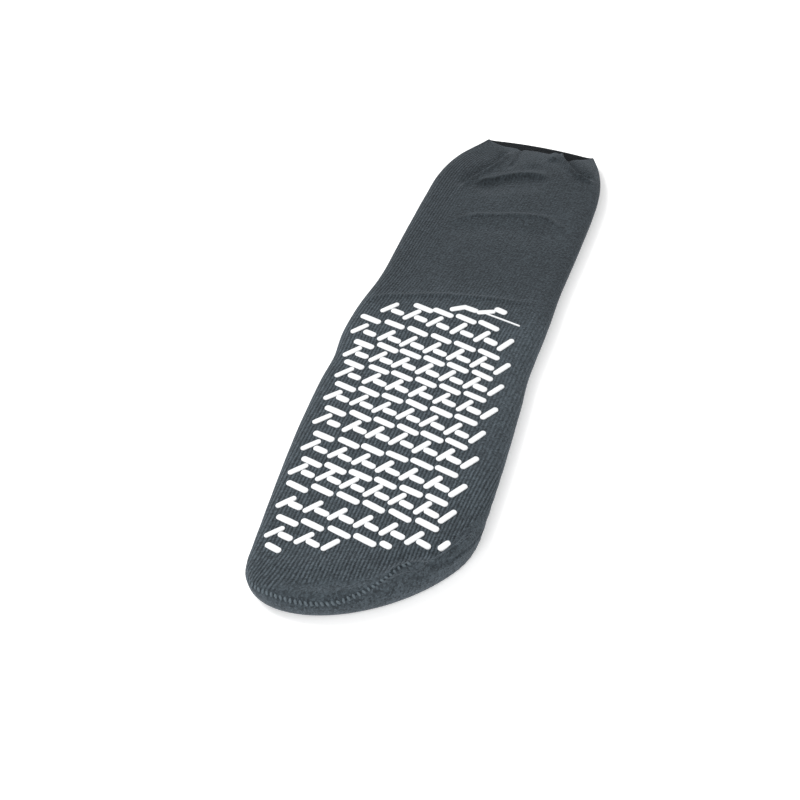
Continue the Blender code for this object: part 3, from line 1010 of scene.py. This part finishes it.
def rubber_material():
    """Screen-printed latex rubber: near-white, slightly uneven, with a soft gloss."""
    material, shader = new_material("printed white latex rubber")
    place = add_node(material, "ShaderNodeTexCoord")
    uneven = add_node(material, "ShaderNodeTexNoise", {}, {"Vector": place.outputs["Object"]},
                      Scale=1 / RUBBER_GRAIN, Detail=2.0)
    bump = add_node(material, "ShaderNodeBump", {}, {"Height": uneven.outputs["Fac"]},
                    Strength=0.3, Distance=0.15 * MM)
    feed(material, bump.outputs["Normal"], shader.inputs["Normal"])
    tone = add_node(material, "ShaderNodeMix", {"data_type": "RGBA"}, {"Factor": uneven.outputs["Fac"]})
    tone.inputs["A"].default_value = linear("#dfe1e3")
    tone.inputs["B"].default_value = linear("#f0f1f2")
    feed(material, tone.outputs["Result"], shader.inputs["Base Color"])
    shader.inputs["Roughness"].default_value = 0.5
    shader.inputs["IOR"].default_value = 1.52
    return material


def floor_material():
    """White acrylic light table, lit a little from below as for a catalogue photo."""
    material, shader = new_material("lit white acrylic table")
    shader.inputs["Emission Color"].default_value = linear("#ffffff")
    shader.inputs["Emission Strength"].default_value = FLOOR_GLOW
    shader.inputs["Base Color"].default_value = linear("#fafafa")
    shader.inputs["Roughness"].default_value = 0.9
    shader.inputs["Specular IOR Level"].default_value = 0.1
    return material


def make_stage():
    """The lit table, the plain world light and the three lamps."""
    deselect_all()
    bpy.ops.mesh.primitive_plane_add(size=FLOOR_SIZE, location=(0, 0, FLOOR_DROP))
    floor = bpy.context.object
    floor.name = "studio_floor"
    floor.data.materials.append(floor_material())
    floor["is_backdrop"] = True

    world = bpy.data.worlds.new("soft studio")
    bpy.context.scene.world = world
    world.use_nodes = True
    background = world.node_tree.nodes["Background"]
    background.inputs["Color"].default_value = linear("#ffffff")
    background.inputs["Strength"].default_value = WORLD_STRENGTH
    for name, place, size, power in LIGHTS:
        light = bpy.data.lights.new(name, "AREA")
        light.shape = "DISK"
        light.size = size
        light.energy = power
        lamp = bpy.data.objects.new(name, light)
        lamp.location = place
        lamp.rotation_euler = (-Vector(place)).to_track_quat("-Z", "Y").to_euler()
        bpy.context.scene.collection.objects.link(lamp)


def make_camera():
    """The photo's camera: over the toe, a little to its right, rolled a little."""
    turn = math.radians(CAMERA_TURN)
    fall = math.radians(CAMERA_FALL)
    roll = math.radians(CAMERA_ROLL)
    level = Vector((math.cos(turn), math.sin(turn), 0))
    ahead = Vector((-math.sin(turn), math.cos(turn), 0))
    forward = ahead * math.cos(fall) - Vector((0, 0, 1)) * math.sin(fall)
    upward = ahead * math.sin(fall) + Vector((0, 0, 1)) * math.cos(fall)
    right = level * math.cos(roll) - upward * math.sin(roll)
    top = level * math.sin(roll) + upward * math.cos(roll)
    lens = bpy.data.cameras.new("photo camera")
    lens.lens = CAMERA_LENS
    lens.sensor_width = 36
    camera = bpy.data.objects.new("photo camera", lens)
    camera.matrix_world = Matrix((
        (right.x, top.x, -forward.x, CAMERA_PLACE[0] - ORIGIN[0]),
        (right.y, top.y, -forward.y, CAMERA_PLACE[1] - ORIGIN[1]),
        (right.z, top.z, -forward.z, CAMERA_PLACE[2]),
        (0, 0, 0, 1)))
    bpy.context.scene.collection.objects.link(camera)
    bpy.context.scene.camera = camera


def plain_box():
    """Corners of the plain tube's outline in plan, before it is centred."""
    along = along_from_arc(outer_arcs())
    across = np.linspace(-1, 1, 401)
    along, across = np.meshgrid(along, across)
    both = [surface(along, across, np.full(along.shape, side), 0.0).reshape(-1, 3) for side in (0.0, 1.0)]
    both = np.concatenate(both)
    return both.min(axis=0), both.max(axis=0)


low, high = plain_box()
ORIGIN[:2] = (low[:2] + high[:2]) / 2
bpy.context.scene.view_settings.view_transform = "Standard"
make_camera()
make_stage()
knit = make_knit()
knit.data.materials.append(knit_material())
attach(knit, "root")
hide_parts("knit_body")
make_grips(rubber_material())
stitches = make_stitches()
stitches.data.materials.append(yarn_material())
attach(stitches, "root")

low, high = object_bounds()
